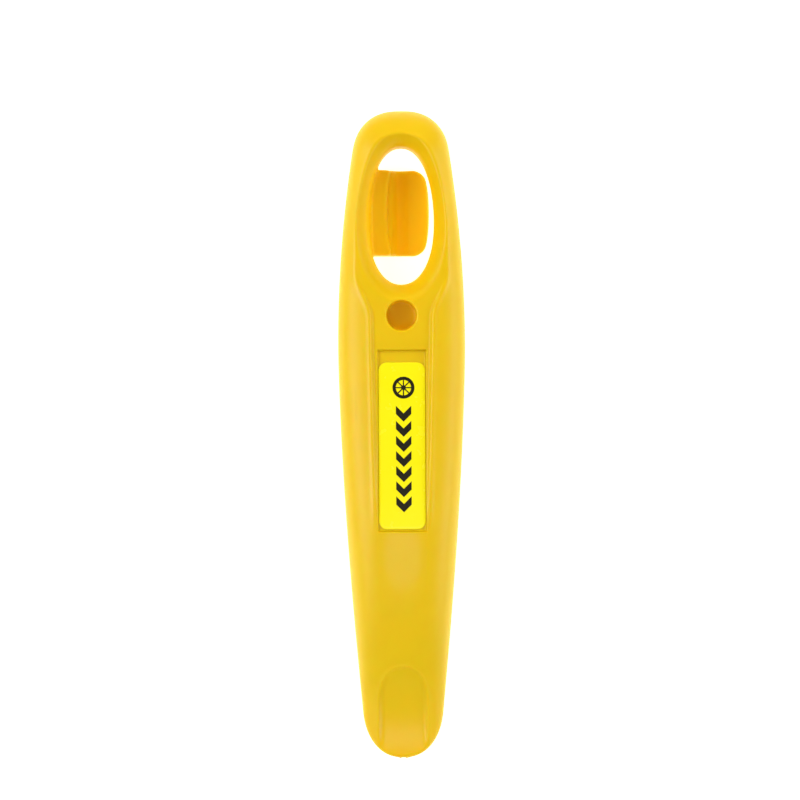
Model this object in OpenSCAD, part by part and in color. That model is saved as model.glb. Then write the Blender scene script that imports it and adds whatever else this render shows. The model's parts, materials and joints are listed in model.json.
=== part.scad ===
// Bicycle tyre lever: one injection-moulded nylon lever with an integral spoke hook, plus its sticker.
// X runs across the lever, +Y towards the spoke hook, -Y towards the spoon tip, +Z out of the front face.
// Z = 0 is the table that the hook and the belly of the spoon rest on.

/* [Lever] */
// Overall length
lever_length = 120; // [110:1:130]
// Width at the widest place
lever_width = 23.4; // [21:0.2:26]
// Height of the crown's ridge above the table, at its highest
crown_top = 13.4; // [12.8:0.1:14.5]
// Height of the flat back above the table, beside the hook
back_height = 4.1; // [3.9:0.1:4.6]
// Thickness of the moulded walls round the hollow back
wall = 2.4; // [1.8:0.1:3]

/* [Front face] */
// Height of the sunk panel above the table
panel_height = 12.45; // [12.2:0.05:12.7]
// Half-width of the sunk panel beside the socket
panel_half_width = 5.75; // [5.2:0.05:6.2]
// Radius of the round nesting socket
socket_radius = 2.75; // [2:0.05:3]
// Depth of the nesting socket below the panel
socket_depth = 4; // [2:0.5:4.5]
// Radius of the nesting peg on the back
peg_radius = 2.6; // [1.9:0.05:2.9]
// Length of the nesting peg below the back
peg_length = 2.3; // [1.5:0.1:3]

/* [Window and spoke hook] */
// Half-width of the window
window_half_width = 6.05; // [5.6:0.05:6.4]
// Length of the hook along the lever
hook_length = 16; // [12:0.5:17]
// Radius of the groove that grips the spoke
groove_radius = 1.05; // [0.9:0.05:1.1]
// Wall of the hook under the groove
hook_floor = 1.5; // [1.2:0.1:1.6]

/* [Label] */
// Length of the label
label_length = 30.4; // [24:0.2:31.5]
// Width of the label
label_width = 8.5; // [6:0.1:8.6]
// Depth of the label's pocket below the panel
pocket_depth = 0.5; // [0.35:0.05:0.7]

/* [Hidden] */

nylon = [0.95, 0.77, 0.07];
label_yellow = [1, 0.97, 0.1];
ink_black = [0.06, 0.06, 0.06];

end_y = lever_length / 2;
half_width = lever_width / 2;
widest_y = end_y - 43.35;

// Side profile: the ridge falls from crest_y to spoon_y, then hollows out towards the tip.
crest_y = 8;
spoon_y = -42;
belly_y = -46;
arch_end_y = -2;
ridge_drop_power = 3.2;
ridge_drop = 6.29;
tip_top = 3.4;
tip_bottom = 1.2;
parting_share = 0.36;

// The window is an egg about (0, window_y); the dish is the rounding that falls into it.
window_y = 39.5;
window_up = 13.8;
window_down = 11.5;
window_power = 2.15;
dish_reach = 4;
dish_depth = 3.6;

// Front panel: its lower end is where the thumb flat starts, and the flat runs out at flat_end_y.
panel_end_y = -17.4;
flat_end_y = -29.9;
panel_taper = 0.02;
panel_wall_width = 0.6;
shoulder_low_y = 21.8;
shoulder_high_y = 29.8;
ring_half_width = 8.47;
ring_top_y = 55.5;

socket_y = 22.2;
pocket_width = 8.75;
pocket_top_y = 15.8;
pocket_end_y = -17.2;
label_y = -1.6;
label_corner = 1.5;
adhesive_thick = 0.06;
film_thick = 0.16;
ink_thick = 0.02;
pocket_floor = panel_height - pocket_depth;

// Spoon scoop: a channel with a round upper end, hollowed by a large drum lying across the tip.
scoop_top_y = -42.5;
scoop_half_width = 4.68;
scoop_drum = 28;
scoop_drum_y = -57.5;
scoop_drum_bottom = 2.7;

// Spoke hook, seen along the lever: a shell from the ring's -X side round under the window.
hook_y = 41.6;
groove_x = -0.2;
groove_z = hook_floor + groove_radius;
hook_tip_x = 5.4;
hook_root_x = -7.9;
ridge_x = -2.4;
ridge_arc = 36;
ridge_floor = 2.9;

// Cored back: a row of pockets down the middle, with cross ribs between them.
core_low_y = -35;
core_rows = 5;
core_pitch = 9.9;
core_roof = pocket_floor - 2;
rib_thick = 1.6;

// Rise from 0 at a rounded end to 1, a distance `reach` in from the end.
function cap(inset, reach, power) =
    inset >= reach ? 1 : pow(1 - pow(1 - max(inset, 0) / reach, power), 1 / power);
function signed_power(value, power) = sign(value) * pow(abs(value), power);
function blend(low, high, y) =
    let (t = max(0, min(1, (y - low) / (high - low)))) t * t * (3 - 2 * t);

// Outline of the lever, as a half-width at each place along it.
function barrel(y) = y > widest_y
    ? half_width - 4.08 * pow((y - widest_y) / (end_y - widest_y), 2)
    : half_width - 5 * pow((widest_y - y) / (end_y + widest_y), 1.5);
function outline(y) = barrel(y) * cap(end_y - y, 7.5, 2.5) * cap(y + end_y, 8.6, 2.3);

// Heights along the middle of the lever: the ridge of the crown, the back and the parting line.
function spoon_slope() = ridge_drop_power * ridge_drop / (crest_y - spoon_y);
function spoon_top() = crown_top - ridge_drop;
function ridge(y) =
    y >= crest_y ? crown_top - pow(y - crest_y, 2) / 2080 :
    y >= spoon_y ? crown_top - ridge_drop * pow((crest_y - y) / (crest_y - spoon_y), ridge_drop_power) :
    let (along = spoon_y - y, whole = spoon_y + end_y)
    spoon_top() - spoon_slope() * along
        + (tip_top - spoon_top() + spoon_slope() * whole) * pow(along / whole, 2);
function back(y) =
    y >= belly_y
    ? back_height * (1 - cos(180 * min(1, (y - belly_y) / (arch_end_y - belly_y)))) / 2
    : tip_bottom * pow((belly_y - y) / (belly_y + end_y), 2);
function parting(y) = back(y) + parting_share * (ridge(y) - back(y));
function crown_power(y) = 2.4 + 0.4 * blend(-10, 22, y);
function crown_rise(y) = (ridge(y) - parting(y)) * cap(end_y - y, 8, 2) * cap(y + end_y, 3.5, 2);
function crown(x, y) = let (p = crown_power(y))
    parting(y) + crown_rise(y) * pow(1 - pow(min(1, abs(x) / outline(y)), p), 1 / p);
function back_fall(y) = (parting(y) - back(y)) * cap(end_y - y, 5, 2) * cap(y + end_y, 3, 2);

// Distance outside the window, measured along the line from its centre.
function window_reach(x, y) =
    let (half_y = y > window_y ? window_up : window_down,
         size = pow(pow(abs(x) / window_half_width, window_power)
                  + pow(abs(y - window_y) / half_y, window_power), 1 / window_power))
    size < 1 ? 0 : norm([x, y - window_y]) * (1 - 1 / size);
// Half-width of the crest line round the window and down both sides of the panel.
function crest(y) =
    let (neck = panel_half_width - panel_taper * (20 - y),
         ring = ring_half_width * cap(ring_top_y - y, 24, 2.6))
    neck + (ring - neck) * blend(shoulder_low_y, shoulder_high_y, y);
// Height of the sunk panel: level, dished into the window, with a sloping wall up to the crest.
function panel(x, y) =
    let (flat_slope = (panel_height - ridge(flat_end_y)) / (panel_end_y - flat_end_y),
         base = panel_height - flat_slope * max(0, panel_end_y - y),
         near = max(0, 1 - window_reach(x, y) / dish_reach),
         wall_on = 1 - blend(26, 30, y),
         up = max(0, abs(x) - crest(y) + panel_wall_width))
    base - dish_depth * pow(near, 2.2) + wall_on * up;

// A closed skin over rings of equal length, each ring a loop of points about the Y axis.
// Each end is a fan of triangles about the middle of its ring, pushed out by `bulge`.
function middle(ring, out) =
    [for (axis = [0 : 2]) (min([for (p = ring) p[axis]]) + max([for (p = ring) p[axis]])) / 2 + out[axis]];
module skin(rings, bulge = 0) {
    per = len(rings[0]);
    last = len(rings) - 1;
    low_end = per * (last + 1);
    points = concat([for (ring = rings) each ring],
        [middle(rings[0], [0, -bulge, 0]), middle(rings[last], [0, bulge, 0])]);
    polyhedron(points, [for (i = [0 : per - 1]) let (j = (i + 1) % per) each concat(
        [[low_end, j, i], [low_end + 1, last * per + i, last * per + j]],
        [for (k = [0 : last - 1]) each [
            [k * per + i, (k + 1) * per + j, (k + 1) * per + i],
            [k * per + i, k * per + j, (k + 1) * per + j]]])]);
}

// One loop of the lever's outer surface: flank, crest and panel over the top, then the flatter back.
// The marks inside the crest are shares of its half-width.
flank_steps = 8;
back_steps = 12;
inner_marks = [0.93, 0.895, 0.82, 0.74, 0.5, 0.25];
function front_marks(y) =
    let (w = outline(y), p = 2 / crown_power(y), c = min(max(crest(y), 0.3 * w), 0.88 * w),
         sweep = acos(pow(c / w, 1 / p))) concat(
    [for (i = [0 : flank_steps]) w * pow(cos(sweep * i / flank_steps), p)],
    [for (m = inner_marks) m * c]);
function front(x, y) = min(crown(x, y), panel(x, y));
function body_ring(y) =
    let (marks = front_marks(y), last = len(marks) - 1, w = outline(y), z = parting(y)) concat(
    [for (x = marks) [x, y, front(x, y)]],
    [[0, y, front(0, y)]],
    [for (i = [last : -1 : 0]) [-marks[i], y, front(marks[i], y)]],
    [for (i = [1 : back_steps - 1]) let (a = 180 * i / back_steps)
        [-w * signed_power(cos(a), 0.4), y, z - back_fall(y) * pow(sin(a), 0.4)]]);
tip_round = 8.6;
top_round = 7.5;
body_stations = concat(
    [for (a = [5 : 10 : 85]) tip_round * (1 - cos(a)) - end_y],
    [for (y = [-51 : 2.6 : 20.5]) y],
    [for (y = [22.5 : 1.25 : 52]) y],
    [for (a = [85 : -10 : 5]) end_y - top_round * (1 - cos(a))]);
module lever_skin() {
    skin([for (y = body_stations) body_ring(y)], 0.03);
}

function window_point(a) = [
    window_half_width * signed_power(cos(a), 2 / window_power),
    window_y + (sin(a) > 0 ? window_up : window_down) * signed_power(sin(a), 2 / window_power)];
module window_space() {
    translate([0, 0, -1]) linear_extrude(crown_top + 2)
        polygon([for (a = [3 : 6 : 357]) window_point(a)]);
}

module scoop_space() {
    intersection() {
        translate([0, 0, -1]) linear_extrude(12) polygon(concat(
            [for (y = [-end_y - 1, -54, -51]) [scoop_half_width, y]],
            [for (a = [0 : 10 : 180]) let (p = 2 / 2.3)
                [scoop_half_width * signed_power(cos(a), p), scoop_top_y - 8 + 8 * pow(sin(a), p)]],
            [for (y = [-51, -54, -end_y - 1]) [-scoop_half_width, y]]));
        translate([0, scoop_drum_y, scoop_drum_bottom + scoop_drum]) rotate([0, 90, 0])
            cylinder(r = scoop_drum, h = 2 * scoop_half_width + 2, center = true, $fn = 180);
    }
}

module label_pocket() {
    translate([-pocket_width / 2, pocket_end_y, pocket_floor])
        cube([pocket_width, pocket_top_y - pocket_end_y, 3]);
}

module socket_space() {
    translate([0, socket_y, panel_height - socket_depth])
        cylinder(r = socket_radius, h = socket_depth + 3, $fn = 64);
}

// Cored back: pockets that follow the outline, each as deep as the crown over its side walls allows.
module core_pocket(low, high) {
    steps = 4;
    sides = [for (i = [0 : steps]) let (y = low + (high - low) * i / steps) [outline(y) - wall, y]];
    roof = crown(outline(low) - wall, low) - 1.3 * wall;
    translate([0, 0, -2]) linear_extrude(min(roof, core_roof) + 2)
        polygon(concat(sides, [for (i = [steps : -1 : 0]) [-sides[i].x, sides[i].y]]));
}
module cored_back() {
    for (k = [0 : core_rows - 1])
        core_pocket(core_low_y + core_pitch * k, core_low_y + core_pitch * (k + 1) - rib_thick);
}

module nesting_peg() {
    translate([0, socket_y, back_height - peg_length])
        cylinder(r = peg_radius, h = peg_length + 2, $fn = 64);
}

// Points along an arc, from one angle to another.
function arc(x, y, r, from, to, steps = 8) =
    [for (i = [0 : steps]) let (a = from + (to - from) * i / steps) [x + r * cos(a), y + r * sin(a)]];
module hook_section() {
    polygon(concat(
        [[hook_root_x + 1.6, back_height + 1.6], [hook_root_x, back_height + 0.6]],
        arc(hook_root_x + 3.3, 3.3, 3.3, 180, 270),
        arc(hook_tip_x - 1.5, 1.5, 1.5, 270, 360),
        arc(hook_tip_x - 0.7, 1.6, 0.7, 20, 100, 4),
        [[groove_x + groove_radius, groove_z - 0.45], [groove_x, groove_z],
         [groove_x - groove_radius, 3.1], [-5.2, 4.5]]));
}
module hook_plan() {
    hull() {
        translate([hook_root_x - 1, hook_y - hook_length / 2]) square([2, hook_length]);
        for (side = [-1, 1])
            translate([hook_tip_x - 2.75, hook_y + side * (hook_length / 2 - 2)]) circle(r = 2, $fn = 32);
        translate([hook_tip_x - 2, hook_y - 2]) square([2, 4]);
    }
}
module spoke_hook() {
    difference() {
        intersection() {
            translate([0, hook_y + hook_length / 2, 0]) rotate([90, 0, 0])
                linear_extrude(hook_length) hook_section();
            translate([0, 0, -1]) linear_extrude(back_height + 4) hook_plan();
        }
        translate([groove_x, hook_y - hook_length, groove_z]) rotate([-90, 0, 0])
            cylinder(r = groove_radius, h = 2 * hook_length, $fn = 64);
        translate([ridge_x + ridge_arc, hook_y, ridge_floor])
            cylinder(r = ridge_arc, h = 5, $fn = 256);
    }
}

module lever_body() {
    color(nylon) {
        difference() {
            lever_skin();
            window_space();
            scoop_space();
            label_pocket();
            socket_space();
            cored_back();
        }
        nesting_peg();
        spoke_hook();
    }
}

// A flat layer of the label, with rounded corners.
module label_layer(base, thick) {
    square_x = label_width - 2 * label_corner;
    square_y = label_length - 2 * label_corner;
    translate([0, label_y, pocket_floor + base]) linear_extrude(thick) union() {
        square([square_x, label_length], center = true);
        square([label_width, square_y], center = true);
        for (sx = [-1, 1], sy = [-1, 1])
            translate([sx * square_x / 2, sy * square_y / 2]) circle(r = label_corner, $fn = 48);
    }
}
module label_adhesive() {
    color([0.85, 0.85, 0.8]) label_layer(0, adhesive_thick);
}
module label_film() {
    color(label_yellow) label_layer(adhesive_thick, film_thick);
}

// Printed pattern: a plain wheel, then a row of arrowheads that point to the spoon.
print_x = 0.3;
print_half = 1.4;
module arrowhead() {
    polygon([[-print_half, 0], [0, -print_half], [print_half, 0],
             [print_half, 1.5], [0, 1.5 - print_half], [-print_half, 1.5]]);
}
module wheel_mark() {
    difference() {
        circle(r = 2, $fn = 64);
        circle(r = 1.4, $fn = 64);
    }
    circle(r = 0.45, $fn = 32);
    for (a = [0 : 45 : 135])
        rotate(a) square([3.2, 0.22], center = true);
}
module label_print() {
    color(ink_black) translate([print_x, 0, pocket_floor + adhesive_thick + film_thick])
        linear_extrude(ink_thick) {
            translate([0, 9]) wheel_mark();
            for (k = [0 : 6])
                translate([0, 4.2 - 2.75 * k]) arrowhead();
        }
}

lever_body();
label_adhesive();
label_film();
label_print();
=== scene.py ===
"""Looks of the moulded tyre lever: a fine lever mesh, its label, procedural materials, soft studio light."""
import json
import math

import bmesh
import bpy
import numpy as np
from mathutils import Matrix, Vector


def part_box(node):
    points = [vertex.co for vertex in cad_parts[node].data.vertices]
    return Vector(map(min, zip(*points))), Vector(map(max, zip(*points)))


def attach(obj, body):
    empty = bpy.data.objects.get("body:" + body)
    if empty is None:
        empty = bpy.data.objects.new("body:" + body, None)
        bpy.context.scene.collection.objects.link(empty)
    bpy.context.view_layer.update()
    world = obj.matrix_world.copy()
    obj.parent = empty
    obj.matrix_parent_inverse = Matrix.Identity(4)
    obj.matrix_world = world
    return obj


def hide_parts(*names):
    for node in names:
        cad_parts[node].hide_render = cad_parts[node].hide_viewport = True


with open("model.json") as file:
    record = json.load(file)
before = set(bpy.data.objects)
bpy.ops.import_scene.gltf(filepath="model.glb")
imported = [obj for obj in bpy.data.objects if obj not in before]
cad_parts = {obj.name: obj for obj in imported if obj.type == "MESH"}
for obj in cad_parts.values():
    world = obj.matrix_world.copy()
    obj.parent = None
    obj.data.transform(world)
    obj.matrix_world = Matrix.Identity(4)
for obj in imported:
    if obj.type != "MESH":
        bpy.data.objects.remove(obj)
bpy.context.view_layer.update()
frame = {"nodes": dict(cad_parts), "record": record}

import openvdb
from mathutils import Vector

MM = 0.001
MOUNTS = {mount["name"]: mount for mount in frame["record"]["mounts"]}


def mount_at(name):
    """A mount's place in millimetres."""
    return np.array(MOUNTS[name]["pos_m"]) / MM


def node_box(name):
    """A CAD node's lowest and highest corners in millimetres."""
    low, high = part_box(name)
    return np.array(low) / MM, np.array(high) / MM


# ---------------------------------------------------------------- sizes of the moulding, in millimetres
BODY_LOW, BODY_HIGH = node_box("lever_body")
END_Y = (BODY_HIGH[1] - BODY_LOW[1]) / 2
HALF_WIDTH = (BODY_HIGH[0] - BODY_LOW[0]) / 2
WIDEST_Y = END_Y - 43.35

HEAD_NARROWING, TAIL_NARROWING = 4.08, 5.0      # how far the outline draws in at each end
HEAD_ROUND, TAIL_ROUND = 7.5, 8.6               # reach of the rounded ends, seen from the front

CROWN_TOP = 13.4        # ridge of the crown, before the panel is sunk into it
HEAD_FALL = 2080.0      # the ridge falls by the square of the distance past the crest, over this
BACK_HEIGHT = 4.1       # flat back beside the hook
PANEL_HEIGHT = 12.45
WALL = 2.4
CREST_Y, SPOON_Y, BELLY_Y, ARCH_END_Y = 8.0, -42.0, -46.0, -2.0
RIDGE_DROP, RIDGE_DROP_POWER = 6.29, 3.2
TIP_TOP, TIP_BOTTOM = 3.4, 1.2
PARTING_SHARE = 0.36
BACK_POWER = 5.0

WINDOW_Y, WINDOW_UP, WINDOW_DOWN = 39.5, 13.8, 11.5
WINDOW_HALF, WINDOW_POWER = 6.05, 2.15
DISH_REACH, DISH_DEPTH, DISH_POWER = 4.0, 3.6, 2.2

PANEL_END_Y, FLAT_END_Y = -17.4, -29.9
PANEL_HALF, PANEL_TAPER, PANEL_WALL = 5.75, 0.02, 0.6
SHOULDER_LOW_Y, SHOULDER_HIGH_Y = 21.8, 29.8
RING_HALF, RING_TOP_Y = 8.47, 55.5

POCKET_HALF, POCKET_TOP_Y, POCKET_END_Y = 4.375, 15.8, -17.2
POCKET_FLOOR = node_box("label_adhesive")[0][2]

BEAD_HEIGHT, BEAD_WIDTH, BEAD_OFFSET = 0.15, 0.5, 0.1

SCOOP_HALF, SCOOP_TOP_Y, SCOOP_ROUND = 4.68, -42.5, 8.0
SCOOP_DRUM, SCOOP_DRUM_Y, SCOOP_DRUM_BOTTOM = 28.0, -57.5, 2.7
SCOOP_WALL = 1.3
LIP_HEIGHT, LIP_WIDTH = 0.14, 0.4

SOCKET = mount_at("nesting_socket")
SOCKET_RADIUS = MOUNTS["nesting_socket"]["dims"]["r_mm"]
SOCKET_FLOOR = PANEL_HEIGHT - MOUNTS["nesting_socket"]["dims"]["length_mm"]
PEG_RADIUS = MOUNTS["nesting_peg"]["dims"]["r_mm"]
PEG_END = BACK_HEIGHT - MOUNTS["nesting_peg"]["dims"]["length_mm"]

GROOVE = mount_at("spoke_groove")
GROOVE_RADIUS = MOUNTS["spoke_groove"]["dims"]["r_mm"]
HOOK_HALF_LENGTH = MOUNTS["spoke_groove"]["dims"]["length_mm"] / 2
HOOK_TIP_X, HOOK_ROOT_X = 5.4, -7.9
HOOK_BOW = 52.0         # the free edge bows by the square of the distance along it, over this
RIDGE_X, RIDGE_ARC, RIDGE_FLOOR = -2.4, 36.0, 2.9

CORE_LOW_Y, CORE_ROWS, CORE_PITCH, RIB = -35.0, 5, 9.9, 1.6


# ---------------------------------------------------------------- profiles of the moulding
def cap(inset, reach, power):
    """Rises from 0 at a rounded end to 1, a distance `reach` in from the end."""
    return (1 - np.clip(1 - inset / reach, 0, 1) ** power) ** (1 / power)


def blend(low, high, y):
    """Rises smoothly from 0 at low to 1 at high, or falls where low is the larger."""
    t = np.clip((y - low) / (high - low), 0, 1)
    return t * t * (3 - 2 * t)


def outline(y):
    """Half-width of the lever."""
    upper = HALF_WIDTH - HEAD_NARROWING * (np.maximum(y - WIDEST_Y, 0) / (END_Y - WIDEST_Y)) ** 2
    lower = HALF_WIDTH - TAIL_NARROWING * (np.maximum(WIDEST_Y - y, 0) / (END_Y + WIDEST_Y)) ** 1.5
    ends = cap(END_Y - y, HEAD_ROUND, 2.5) * cap(y + END_Y, TAIL_ROUND, 2.3)
    return np.where(y > WIDEST_Y, upper, lower) * ends


def ridge(y):
    """Height of the crown along the middle."""
    head = CROWN_TOP - (y - CREST_Y) ** 2 / HEAD_FALL
    fall = np.clip((CREST_Y - y) / (CREST_Y - SPOON_Y), 0, 1)
    neck = CROWN_TOP - RIDGE_DROP * fall ** RIDGE_DROP_POWER
    slope = RIDGE_DROP_POWER * RIDGE_DROP / (CREST_Y - SPOON_Y)
    whole = SPOON_Y + END_Y
    along = np.clip(SPOON_Y - y, 0, whole)
    top = CROWN_TOP - RIDGE_DROP
    spoon = top - slope * along + (TIP_TOP - top + slope * whole) * (along / whole) ** 2
    return np.where(y >= CREST_Y, head, np.where(y >= SPOON_Y, neck, spoon))


def back(y):
    """Height of the back along the middle."""
    turn = np.clip((y - BELLY_Y) / (ARCH_END_Y - BELLY_Y), 0, 1)
    arch = BACK_HEIGHT * (1 - np.cos(math.pi * turn)) / 2
    curl = TIP_BOTTOM * (np.clip(BELLY_Y - y, 0, None) / (BELLY_Y + END_Y)) ** 2
    return np.where(y >= BELLY_Y, arch, curl)


def parting(y):
    """Height of the parting line."""
    return back(y) + PARTING_SHARE * (ridge(y) - back(y))


def crown_power(y):
    """Squareness of the crown's section."""
    return 2.4 + 0.4 * blend(-10, 22, y)


def crown_rise(y):
    """Height of the crown above the parting line, along the middle."""
    return (ridge(y) - parting(y)) * cap(END_Y - y, 8, 2) * cap(y + END_Y, 3.5, 2)


def back_fall(y):
    """Depth of the back below the parting line, along the middle."""
    return (parting(y) - back(y)) * cap(END_Y - y, 5, 2) * cap(y + END_Y, 3, 2)


def crown(x, y):
    """Height of the crown, before anything is sunk into it."""
    power = crown_power(y)
    share = np.minimum(np.abs(x) / np.maximum(outline(y), 0.01), 1)
    return parting(y) + crown_rise(y) * (1 - share ** power) ** (1 / power)


def egg_distance(x, y, half, up, down, power):
    """Signed distance outside an egg about the origin, measured along the line from its centre."""
    reach = np.where(y > 0, up, down)
    size = ((np.abs(x) / half) ** power + (np.abs(y) / reach) ** power) ** (1 / power)
    size = np.maximum(size, 0.02)
    return (size - 1) * np.hypot(x, y) / size


def window_distance(x, y):
    """Signed distance outside the window, seen from the front."""
    return egg_distance(x, y - WINDOW_Y, WINDOW_HALF, WINDOW_UP, WINDOW_DOWN, WINDOW_POWER)


def crest(y):
    """Half-width of the crest line round the window and down both sides of the panel."""
    neck = PANEL_HALF - PANEL_TAPER * (20 - y)
    ring = RING_HALF * cap(RING_TOP_Y - y, 24, 2.6)
    return neck + (ring - neck) * blend(SHOULDER_LOW_Y, SHOULDER_HIGH_Y, y)


def soft_ramp(value, soft):
    """The larger of 0 and value, with its corner rounded."""
    return 0.5 * (value + np.sqrt(value * value + soft * soft))


def panel(x, y):
    """Height of the sunk panel: level, dished into the window, with a wall up to the crest."""
    flat_slope = (PANEL_HEIGHT - ridge(np.float64(FLAT_END_Y))) / (PANEL_END_Y - FLAT_END_Y)
    base = PANEL_HEIGHT - flat_slope * np.maximum(0, PANEL_END_Y - y)
    near = np.clip(1 - np.maximum(window_distance(x, y), 0) / DISH_REACH, 0, 1)
    wall_on = 1 - blend(26, 30, y)
    wall = soft_ramp(np.abs(x) - crest(y) + PANEL_WALL, 0.12)
    return base - DISH_DEPTH * near ** DISH_POWER + wall_on * wall


def bead(x, y):
    """Height of the fine raised line that follows the crest and fades out at the foot of the panel."""
    step = 0.05
    lean = (crest(y + step) - crest(y - step)) / (2 * step)
    away = (np.abs(x) - crest(y) - BEAD_OFFSET) / np.sqrt(1 + lean ** 2)
    run = blend(PANEL_END_Y - 1, PANEL_END_Y + 5, y) * blend(RING_TOP_Y + 0.1, RING_TOP_Y - 0.6, y)
    return BEAD_HEIGHT * run * np.exp(-(away / BEAD_WIDTH) ** 2)


def inside_scoop(x, y):
    """Distance inside the edge of the spoon's tongue, seen from the front."""
    past = y - (SCOOP_TOP_Y - SCOOP_ROUND)
    rounded = -egg_distance(x, np.maximum(past, 0), SCOOP_HALF, SCOOP_ROUND, SCOOP_ROUND, 2.3)
    return np.where(past > 0, rounded, SCOOP_HALF - np.abs(x))


def scoop_lip(x, y):
    """Height of the fine raised lip round the scoop, which fades out towards the tip."""
    run = blend(0.5 - END_Y, 4 - END_Y, y)
    return LIP_HEIGHT * run * np.exp(-((inside_scoop(x, y) + 0.1) / LIP_WIDTH) ** 2)


def scoop(x, y):
    """Height of the spoon's scoop, which meets the crown along the edge of the tongue."""
    inside = inside_scoop(x, y)
    across = np.clip((y - SCOOP_DRUM_Y) / SCOOP_DRUM, -0.999, 0.999)
    floor = SCOOP_DRUM_BOTTOM + SCOOP_DRUM * (1 - np.sqrt(1 - across ** 2))
    top = crown(x, y)
    steep = np.clip(1 - inside / SCOOP_WALL, 0, 1) ** 2
    return floor + np.maximum(top - floor, 0) * steep + 2 * np.maximum(-inside, 0)


# ---------------------------------------------------------------- the moulding as a distance field
STEEPNESS = 0.85        # turns a difference in height into a distance on the sloping faces
PANEL_EDGE, SCOOP_EDGE, WINDOW_EDGE, POCKET_EDGE = 0.35, 0.25, 0.7, 0.12
SOCKET_EDGE, SOCKET_CORNER, CORE_EDGE, CORE_CORNER, CORE_ROOF_EDGE = 0.35, 0.5, 0.3, 1.6, 0.9
PEG_EDGE, PEG_FILLET, HOOK_FILLET = 0.4, 0.7, 0.9
GROOVE_EDGE, HOOK_EDGE, HOOK_CORNER, RIDGE_EDGE = 1.2, 0.6, 2.0, 1.1
FAR_AWAY = 9.0          # any distance well outside the hook


def larger(a, b, soft):
    """Smooth maximum: cuts b's outside from a, with a rounded edge."""
    h = np.clip(0.5 + 0.5 * (a - b) / soft, 0, 1)
    return b + (a - b) * h + soft * h * (1 - h)


def smaller(a, b, soft):
    """Smooth minimum: joins a and b with a fillet."""
    return -larger(-a, -b, soft)


def hull_distance(x, y, z):
    """Distance to the plain outer form: a crown above the parting line, a flatter back below it."""
    above = z - parting(y)
    width = np.maximum(outline(y), 0.02)
    over = above >= 0
    power = np.where(over, crown_power(y), BACK_POWER)
    rise = np.maximum(np.where(over, crown_rise(y), back_fall(y)), 0.02)
    size = ((np.abs(x) / width) ** power + (np.abs(above) / rise) ** power) ** (1 / power)
    radius = np.where(size > 0.001, np.hypot(x, above) / np.maximum(size, 0.001), np.minimum(width, rise))
    return np.maximum((size - 1) * radius, np.abs(y) - END_Y)


def arc_points(x, z, radius, start, end, steps):
    turns = np.radians(np.linspace(start, end, steps + 1))
    return [(x + radius * math.cos(t), z + radius * math.sin(t)) for t in turns]


def hook_section():
    """Outline of the hook, seen along the lever."""
    return ([(HOOK_ROOT_X + 1.6, BACK_HEIGHT + 1.6), (HOOK_ROOT_X, BACK_HEIGHT + 0.6)]
            + arc_points(HOOK_ROOT_X + 3.3, 3.3, 3.3, 180, 270, 8)
            + arc_points(HOOK_TIP_X - 1.5, 1.5, 1.5, 270, 360, 6)
            + arc_points(HOOK_TIP_X - 0.7, 1.6, 0.7, 20, 100, 4)
            + [(GROOVE[0] + GROOVE_RADIUS, GROOVE[2] - 0.45), (GROOVE[0], GROOVE[2]),
               (GROOVE[0] - GROOVE_RADIUS, 3.1), (-5.2, 4.5)])


def polygon_distance(points, x, z):
    """Signed distance to a closed polygon in the plane."""
    best = np.full(x.shape, 1e9)
    sign = np.ones(x.shape)
    for (ax, az), (bx, bz) in zip(points, points[1:] + points[:1]):
        ex, ez = bx - ax, bz - az
        wx, wz = x - ax, z - az
        t = np.clip((wx * ex + wz * ez) / (ex * ex + ez * ez), 0, 1)
        best = np.minimum(best, (wx - ex * t) ** 2 + (wz - ez * t) ** 2)
        above, below = z >= az, z < bz
        left = ex * wz > ez * wx
        crossing = (above & below & left) | (~above & ~below & ~left)
        sign = np.where(crossing, -sign, sign)
    return sign * np.sqrt(best)


def hook_distance(x, y, z):
    """Signed distance outside the spoke hook."""
    along = y - GROOVE[1]
    shape = polygon_distance(hook_section(), x, z)
    shape = larger(shape, GROOVE_RADIUS - np.hypot(x - GROOVE[0], z - GROOVE[2]), GROOVE_EDGE)
    in_x = x - (HOOK_TIP_X - along ** 2 / HOOK_BOW) + HOOK_CORNER
    in_y = np.abs(along) - HOOK_HALF_LENGTH + HOOK_CORNER
    beyond = np.hypot(np.maximum(in_x, 0), np.maximum(in_y, 0))
    plan = beyond + np.minimum(np.maximum(in_x, in_y), 0) - HOOK_CORNER
    shape = larger(shape, plan, HOOK_EDGE)
    step = np.maximum(np.hypot(x - RIDGE_X - RIDGE_ARC, along) - RIDGE_ARC, RIDGE_FLOOR - z)
    return larger(shape, -step, RIDGE_EDGE)


def core_distance(x, y, z):
    """Signed distance outside the cored pockets of the back."""
    row = np.clip(np.floor((y - CORE_LOW_Y) / CORE_PITCH), 0, CORE_ROWS - 1)
    row_low = CORE_LOW_Y + CORE_PITCH * row
    half = (CORE_PITCH - RIB) / 2
    side = outline(row_low) - WALL
    roof = np.minimum(crown(side, row_low) - 1.3 * WALL, POCKET_FLOOR - 2)
    walls = larger(np.abs(x) - (outline(y) - WALL), np.abs(y - row_low - half) - half, CORE_CORNER)
    return larger(walls, z - roof, CORE_ROOF_EDGE)


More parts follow.
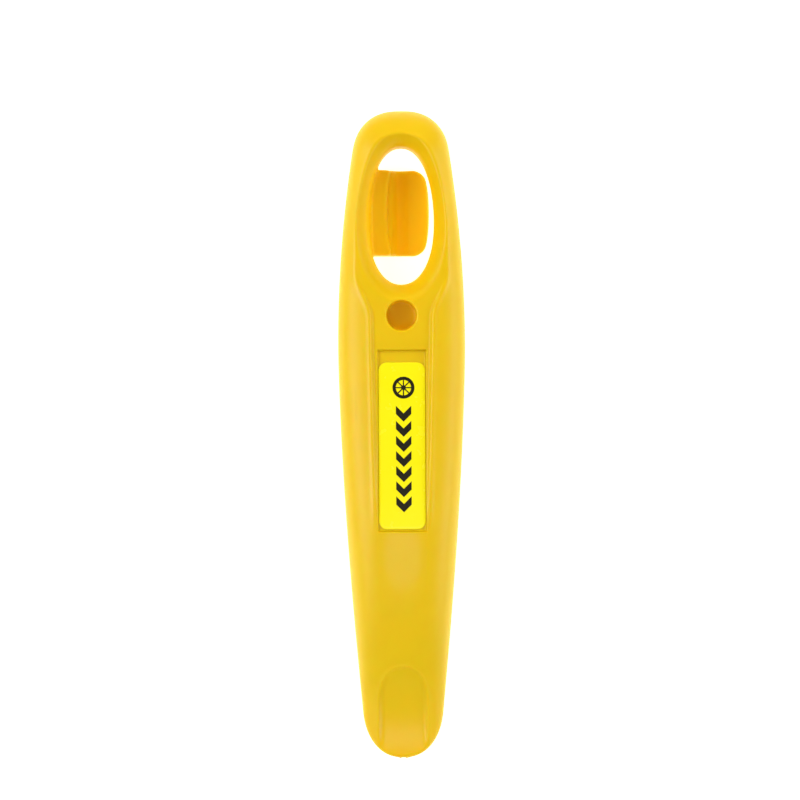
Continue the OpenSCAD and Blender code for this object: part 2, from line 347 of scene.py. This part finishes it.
def body_distance(points):
    """Signed distance outside the whole moulding at an array of points, in millimetres."""
    x, y, z = points[:, 0], points[:, 1], points[:, 2]
    d = hull_distance(x, y, z)
    d = larger(d, STEEPNESS * (z - panel(x, y)), PANEL_EDGE)
    d = d - bead(x, y) * (z > parting(y) + 3)
    d = larger(d, STEEPNESS * (z - scoop(x, y)), SCOOP_EDGE)
    d = d - scoop_lip(x, y) * blend(0.2, 1.0, z - parting(y))
    d = larger(d, -window_distance(x, y), WINDOW_EDGE)
    pocket = np.maximum(np.maximum(np.abs(x) - POCKET_HALF, POCKET_FLOOR - z),
                        np.maximum(y - POCKET_TOP_Y, POCKET_END_Y - y))
    d = larger(d, -pocket, POCKET_EDGE)
    from_socket = np.hypot(x - SOCKET[0], y - SOCKET[1])
    socket = larger(from_socket - SOCKET_RADIUS, SOCKET_FLOOR - z, SOCKET_CORNER)
    d = larger(d, -socket, SOCKET_EDGE)
    d = larger(d, -core_distance(x, y, z), CORE_EDGE)
    peg = larger(from_socket - PEG_RADIUS, np.maximum(PEG_END - z, z - BACK_HEIGHT - 1), PEG_EDGE)
    d = smaller(d, peg, PEG_FILLET)
    hook = np.full(x.shape, FAR_AWAY)
    margin = HOOK_HALF_LENGTH + 2
    near = (np.abs(y - GROOVE[1]) < margin) & (z < BACK_HEIGHT + 4) & (x < HOOK_TIP_X + 2)
    hook[near] = hook_distance(x[near], y[near], z[near])
    return smaller(d, hook, HOOK_FILLET)


# ---------------------------------------------------------------- meshes
VOXEL = 0.305           # step of the grid, in millimetres
SLAB = 40               # rows of the grid worked out at a time
OUTSIDE = 3.0           # the field's value beyond the grid


def field_grid():
    """The distance field sampled on a regular grid, with the place of its first sample."""
    low, high = BODY_LOW - 3 * VOXEL, BODY_HIGH + 3 * VOXEL
    high[2] += CROWN_TOP - BODY_HIGH[2]
    counts = np.ceil((high - low) / VOXEL).astype(int)
    axes = [low[i] + VOXEL * np.arange(counts[i]) for i in range(3)]
    field = np.empty(counts, np.float32)
    for start in range(0, counts[1], SLAB):
        part = axes[1][start:start + SLAB]
        mesh = np.stack(np.meshgrid(axes[0], part, axes[2], indexing="ij"), -1).reshape(-1, 3)
        field[:, start:start + SLAB] = body_distance(mesh).reshape(counts[0], len(part), counts[2])
    return field, low


def field_slope(points, step=0.02):
    """The distance field's slope at an array of points, from differences over a short step."""
    slope = np.empty_like(points)
    for axis in range(3):
        offset = np.zeros(3)
        offset[axis] = step
        slope[:, axis] = (body_distance(points + offset) - body_distance(points - offset)) / (2 * step)
    return slope


def onto_surface(points, rounds):
    """Moves points down the field's slope until they lie on its surface."""
    for _ in range(rounds):
        slope = field_slope(points)
        steep = np.maximum((slope ** 2).sum(1), 0.05)
        shift = slope * (body_distance(points) / steep)[:, None]
        length = np.linalg.norm(shift, axis=1, keepdims=True)
        points = points - shift * np.minimum(1, VOXEL / np.maximum(length, 1e-9))
    return points


def linked(name, data):
    """A new object in the scene that holds this mesh, lamp or camera."""
    obj = bpy.data.objects.new(name, data)
    bpy.context.scene.collection.objects.link(obj)
    return obj


def finish_mesh(mesh, points):
    """Smooth normals from the field, and the values that the nylon's material reads, among them the mask of
    painted bounce light in the hollows.
    """
    mesh.polygons.foreach_set("use_smooth", np.ones(len(mesh.polygons), bool))
    normals = field_slope(points, 0.01)
    normals /= np.maximum(np.linalg.norm(normals, axis=1, keepdims=True), 1e-9)
    mesh.normals_split_custom_set_from_vertices(normals.tolist())
    x, y, z = points.T
    top = crown(x, y)
    flat = blend(0.02, 0.25, top - panel(x, y)) * blend(PANEL_END_Y + 0.5, PANEL_END_Y - 0.5, y)
    hollow = blend(0.05, 0.5, top - scoop(x, y))
    front = blend(-1.5, -0.5, z - np.minimum(np.minimum(top, panel(x, y)), scoop(x, y)))
    line = 0.6 * bead(x, y) / BEAD_HEIGHT
    # The window well and the socket are marked for a painted richer orange: painted light that stands in for
    # light bounced and shone through inside these hollows.
    well = blend(0.9, -0.3, window_distance(x, y))
    cup = blend(SOCKET_RADIUS + 0.2, SOCKET_RADIUS - 0.1, np.hypot(x, y - SOCKET[1]))
    cup = cup * (z > SOCKET_FLOOR - 0.3)
    values = {"from_parting": z - parting(y), "deep": np.maximum(well, cup),
              "polish": np.maximum(np.maximum(flat, hollow), line) * front}
    for name, value in values.items():
        layer = mesh.attributes.new(name, "FLOAT", "POINT")
        layer.data.foreach_set("value", value.astype(np.float32))
    mesh.update()


def moulded_lever():
    """The lever's fine mesh, taken off the distance field."""
    field, low = field_grid()
    grid = openvdb.FloatGrid(OUTSIDE)
    grid.copyFromArray(field)
    corners, quads = grid.convertToQuads(0.0)
    points = onto_surface(corners * VOXEL + low, 3)
    mesh = bpy.data.meshes.new("moulded_lever")
    mesh.from_pydata((points * MM).tolist(), [], quads.tolist())
    finish_mesh(mesh, points)
    return linked("moulded_lever", mesh)


CORNER_STEPS = 8        # segments in each rounded corner of the label


def label_sheet(name, low, high, corner, edge_drop):
    """A thin sheet with rounded corners whose rim is rolled down a little."""
    middle = (low + high) / 2
    half = (high - low) / 2

    def loop(inset, height):
        radius = max(corner - inset, 0.05)
        ring = []
        for turn in range(4):
            sx, sy = ((1, 1), (-1, 1), (-1, -1), (1, -1))[turn]
            for step in range(CORNER_STEPS + 1):
                a = math.radians(90 * turn + 90 * step / CORNER_STEPS)
                ring.append((middle[0] + sx * (half[0] - inset - radius) + radius * math.cos(a),
                             middle[1] + sy * (half[1] - inset - radius) + radius * math.sin(a), height))
        return ring

    rim = 0.45
    loops = [loop(0, low[2]), loop(0, high[2] - edge_drop), loop(0.03, high[2] - edge_drop * 0.7),
             loop(rim * 0.5, high[2] - edge_drop * 0.15), loop(rim, high[2])]
    shape = bmesh.new()
    rings = [[shape.verts.new(Vector(p) * MM) for p in ring] for ring in loops]
    count = len(rings[0])
    for lower, upper in zip(rings, rings[1:]):
        for i in range(count):
            j = (i + 1) % count
            shape.faces.new((lower[i], lower[j], upper[j], upper[i]))
    shape.faces.new(rings[-1])
    shape.faces.new(rings[0][::-1])
    for face in shape.faces:
        face.smooth = True
    mesh = bpy.data.meshes.new(name)
    shape.to_mesh(mesh)
    shape.free()
    return linked(name, mesh)


# ---------------------------------------------------------------- materials
MIX_FIRST, MIX_SECOND, MIX_RESULT = 6, 7, 2     # a Mix node's colour sockets, whose names repeat
TABLE_GLOW = 0.84


class Nodes:
    """Short calls for building one material's nodes."""

    def __init__(self, name):
        self.material = bpy.data.materials.new(name)
        self.material.use_nodes = True
        self.tree = self.material.node_tree
        self.shader = self.tree.nodes["Principled BSDF"]

    def add(self, kind, **values):
        node = self.tree.nodes.new(kind)
        for key, value in values.items():
            if hasattr(node, key) and key not in node.inputs:
                setattr(node, key, value)
            else:
                node.inputs[key].default_value = value
        return node

    def join(self, source, target):
        self.tree.links.new(source, target)

    def noise(self, scale, detail=2.0, roughness=0.5):
        coords = self.add("ShaderNodeTexCoord")
        noise = self.add("ShaderNodeTexNoise", Scale=scale, Detail=detail, Roughness=roughness)
        self.join(coords.outputs["Object"], noise.inputs["Vector"])
        return noise.outputs["Fac"]

    def spread(self, source, low, high, from_low=0.3, from_high=0.7):
        node = self.add("ShaderNodeMapRange")
        for key, value in (("From Min", from_low), ("From Max", from_high),
                           ("To Min", low), ("To Max", high)):
            node.inputs[key].default_value = value
        self.join(source, node.inputs["Value"])
        return node.outputs["Result"]

    def mix(self, factor, first, second):
        """Mixes two colours. The first may also be another node's output."""
        node = self.add("ShaderNodeMix", data_type="RGBA")
        if isinstance(first, tuple):
            node.inputs[MIX_FIRST].default_value = (*first, 1)
        else:
            self.join(first, node.inputs[MIX_FIRST])
        node.inputs[MIX_SECOND].default_value = (*second, 1)
        self.join(factor, node.inputs["Factor"])
        return node.outputs[MIX_RESULT]

    def bump(self, height, strength, distance, under=None):
        node = self.add("ShaderNodeBump", Strength=strength, Distance=distance)
        self.join(height, node.inputs["Height"])
        if under is not None:
            self.join(under, node.inputs["Normal"])
        return node.outputs["Normal"]


def nylon():
    """Satin yellow nylon: faint mottling, fine grain, glossier flats and a hairline parting seam, with a
    richer orange painted into the window well and the socket as painted bounce light.
    """
    n = Nodes("yellow_nylon")
    mottle = n.spread(n.noise(170, 3), 0, 1)
    outside = n.mix(mottle, (0.795, 0.58, 0.002), (0.82, 0.60, 0.004))
    # Painted bounce light: the window well and the socket are mixed towards a richer, brighter orange, in
    # place of the light that gathers in these hollows.
    deep = n.add("ShaderNodeAttribute", attribute_name="deep")
    n.join(n.mix(deep.outputs["Fac"], outside, (0.94, 0.655, 0.001)), n.shader.inputs["Base Color"])
    polish = n.add("ShaderNodeAttribute", attribute_name="polish")
    rough = n.add("ShaderNodeMath", operation="MULTIPLY_ADD")
    n.join(polish.outputs["Fac"], rough.inputs[0])
    rough.inputs[1].default_value = -0.1
    n.join(n.spread(n.noise(420, 3), 0.4, 0.45), rough.inputs[2])
    n.join(rough.outputs[0], n.shader.inputs["Roughness"])
    gloss = n.add("ShaderNodeMath", operation="MULTIPLY")
    n.join(polish.outputs["Fac"], gloss.inputs[0])
    gloss.inputs[1].default_value = 0.4
    n.join(gloss.outputs[0], n.shader.inputs["Coat Weight"])
    n.shader.inputs["Coat Roughness"].default_value = 0.3
    grain = n.bump(n.noise(9000, 2), 0.2, 0.00002)
    n.join(n.spread(polish.outputs["Fac"], 0.2, 0.02, 0, 1), grain.node.inputs["Strength"])
    waviness = n.bump(n.noise(260, 1), 0.1, 0.00008, grain)
    seam = n.add("ShaderNodeAttribute", attribute_name="from_parting")
    width = n.add("ShaderNodeMath", operation="ABSOLUTE")
    n.join(seam.outputs["Fac"], width.inputs[0])
    line = n.spread(width.outputs[0], 1, 0, 0.03, 0.11)
    n.join(n.bump(line, 0.6, 0.00006, waviness), n.shader.inputs["Normal"])
    n.shader.inputs["Subsurface Weight"].default_value = 0.5
    n.shader.inputs["Subsurface Radius"].default_value = (1.0, 0.4, 0.03)
    n.shader.inputs["Subsurface Scale"].default_value = 0.0022
    n.shader.inputs["IOR"].default_value = 1.5
    n.shader.inputs["Specular IOR Level"].default_value = 0.5
    return n.material


def label_vinyl():
    """Glossy lemon label film with a slight orange-peel surface."""
    n = Nodes("label_vinyl")
    shade = n.spread(n.noise(90, 2), 0, 1)
    n.join(n.mix(shade, (1.0, 0.98, 0.01), (1.0, 1.0, 0.02)), n.shader.inputs["Base Color"])
    n.join(n.spread(n.noise(700, 2), 0.2, 0.28), n.shader.inputs["Roughness"])
    n.join(n.bump(n.noise(1500, 1), 0.12, 0.00002), n.shader.inputs["Normal"])
    n.shader.inputs["Coat Weight"].default_value = 0.2
    n.shader.inputs["Coat Roughness"].default_value = 0.1
    return n.material


def label_glue():
    """Milky acrylic glue under the film."""
    n = Nodes("label_glue")
    n.join(n.mix(n.spread(n.noise(900, 3), 0, 1), (0.72, 0.66, 0.4), (0.8, 0.76, 0.55)),
           n.shader.inputs["Base Color"])
    n.join(n.spread(n.noise(2500, 2), 0.5, 0.7), n.shader.inputs["Roughness"])
    return n.material


def label_ink():
    """Screen-printed black ink, faintly mottled."""
    n = Nodes("label_ink")
    n.join(n.mix(n.spread(n.noise(2600, 4), 0, 1), (0.004, 0.004, 0.004), (0.012, 0.012, 0.011)),
           n.shader.inputs["Base Color"])
    n.join(n.spread(n.noise(1800, 2), 0.3, 0.45), n.shader.inputs["Roughness"])
    n.join(n.bump(n.noise(5200, 2), 0.15, 0.00001), n.shader.inputs["Normal"])
    return n.material


def floor_material():
    """White acrylic light table: it glows enough to wash out the shadows."""
    n = Nodes("pale_floor")
    n.join(n.mix(n.spread(n.noise(12, 2), 0, 1), (0.93, 0.93, 0.93), (0.94, 0.94, 0.94)),
           n.shader.inputs["Base Color"])
    n.shader.inputs["Roughness"].default_value = 0.9
    n.shader.inputs["Specular IOR Level"].default_value = 0.0
    n.shader.inputs["Emission Color"].default_value = (0.84, 0.89, 1, 1)
    n.shader.inputs["Emission Strength"].default_value = TABLE_GLOW
    return n.material


def wear(obj, material):
    """Gives an object this one material."""
    obj.data.materials.clear()
    obj.data.materials.append(material)


# ---------------------------------------------------------------- the pieces
def build_lever():
    lever = moulded_lever()
    wear(lever, nylon())
    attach(lever, "root")
    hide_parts("lever_body")


def build_label():
    low, high = node_box("label_film")
    film = label_sheet("label_face", low, high, 1.5, 0.07)
    wear(film, label_vinyl())
    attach(film, "root")
    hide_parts("label_film")
    for node, material in (("label_adhesive", label_glue()), ("label_print", label_ink())):
        for slot in frame["nodes"][node].material_slots:
            slot.material = material


# ---------------------------------------------------------------- studio
VIEW_WIDTH = 0.14792        # width of the view at the height of the lever's outline
VIEW_SHIFT = Vector((-0.00034, 0.00675, 0))
VIEW_ROLL = math.radians(-0.27)
CAMERA_HEIGHT = 0.407       # above the widest outline of the lever
OUTLINE_HEIGHT = 0.006      # of the widest outline above the floor
FLOOR_DROP = 0.00005        # keeps the floor clear of the hook's flat underside


def studio_camera():
    """Looks straight down on the lever's front face."""
    data = bpy.data.cameras.new("camera")
    data.sensor_width = 36
    data.lens = data.sensor_width * CAMERA_HEIGHT / VIEW_WIDTH
    data.clip_start = 0.05
    camera = linked("camera", data)
    camera.location = VIEW_SHIFT + Vector((0, 0, CAMERA_HEIGHT + OUTLINE_HEIGHT))
    camera.rotation_euler = (0, 0, VIEW_ROLL)
    bpy.context.scene.camera = camera


def softbox(name, place, aim, width, height, power, colour):
    """A soft rectangular lamp, turned towards a point."""
    light = bpy.data.lights.new(name, "AREA")
    light.color = colour
    light.shape = "RECTANGLE"
    light.size = width
    light.size_y = height
    light.energy = power
    obj = linked(name, light)
    obj.location = place
    obj.rotation_euler = (Vector(aim) - Vector(place)).to_track_quat("-Z", "Y").to_euler()


def studio_floor():
    """The pale table, just under the lever."""
    shape = bmesh.new()
    bmesh.ops.create_grid(shape, x_segments=8, y_segments=8, size=1.5)
    mesh = bpy.data.meshes.new("floor")
    shape.to_mesh(mesh)
    shape.free()
    floor = linked("floor", mesh)
    floor.location.z = -FLOOR_DROP
    floor.data.materials.append(floor_material())


def studio_world():
    """Soft surroundings: a warm bright band part of the way up, dimmer below and overhead."""
    world = bpy.data.worlds.new("studio")
    world.use_nodes = True
    tree = world.node_tree
    coords = tree.nodes.new("ShaderNodeTexCoord")
    split = tree.nodes.new("ShaderNodeSeparateXYZ")
    ramp = tree.nodes.new("ShaderNodeValToRGB")
    ramp.color_ramp.interpolation = "EASE"
    stops = ((0.05, (0.15, 0.13, 0.04, 1)), (0.45, (1, 0.9, 0.22, 1)),
             (0.74, (1, 0.9, 0.22, 1)), (0.95, (0.02, 0.015, 0.005, 1)))
    for _ in stops[2:]:
        ramp.color_ramp.elements.new(0.5)
    for element, (place, colour) in zip(ramp.color_ramp.elements, stops):
        element.position = place
        element.color = colour
    tree.links.new(coords.outputs["Generated"], split.inputs[0])
    tree.links.new(split.outputs["Z"], ramp.inputs["Fac"])
    background = tree.nodes["Background"]
    tree.links.new(ramp.outputs["Color"], background.inputs["Color"])
    background.inputs["Strength"].default_value = 0.82
    bpy.context.scene.world = world


def build_studio():
    studio_floor()
    studio_world()
    studio_camera()
    middle = (0, 0, 0.008)
    softbox("left_softbox", (-0.52, 0.03, 0.42), middle, 0.6, 0.18, 1.75, (1, 0.96, 1))
    softbox("right_softbox", (0.6, -0.02, 0.27), middle, 0.6, 0.18, 1.2, (1, 0.96, 1))
    softbox("foot_softbox", (0, -0.24, 0.77), middle, 0.35, 0.22, 0.38, (1, 0.97, 1))
    softbox("head_softbox", (0, 0.5, 0.4), middle, 0.5, 0.3, 1.2, (1, 0.7, 0.05))
    bpy.context.scene.view_settings.view_transform = "Standard"


build_lever()
build_label()
build_studio()
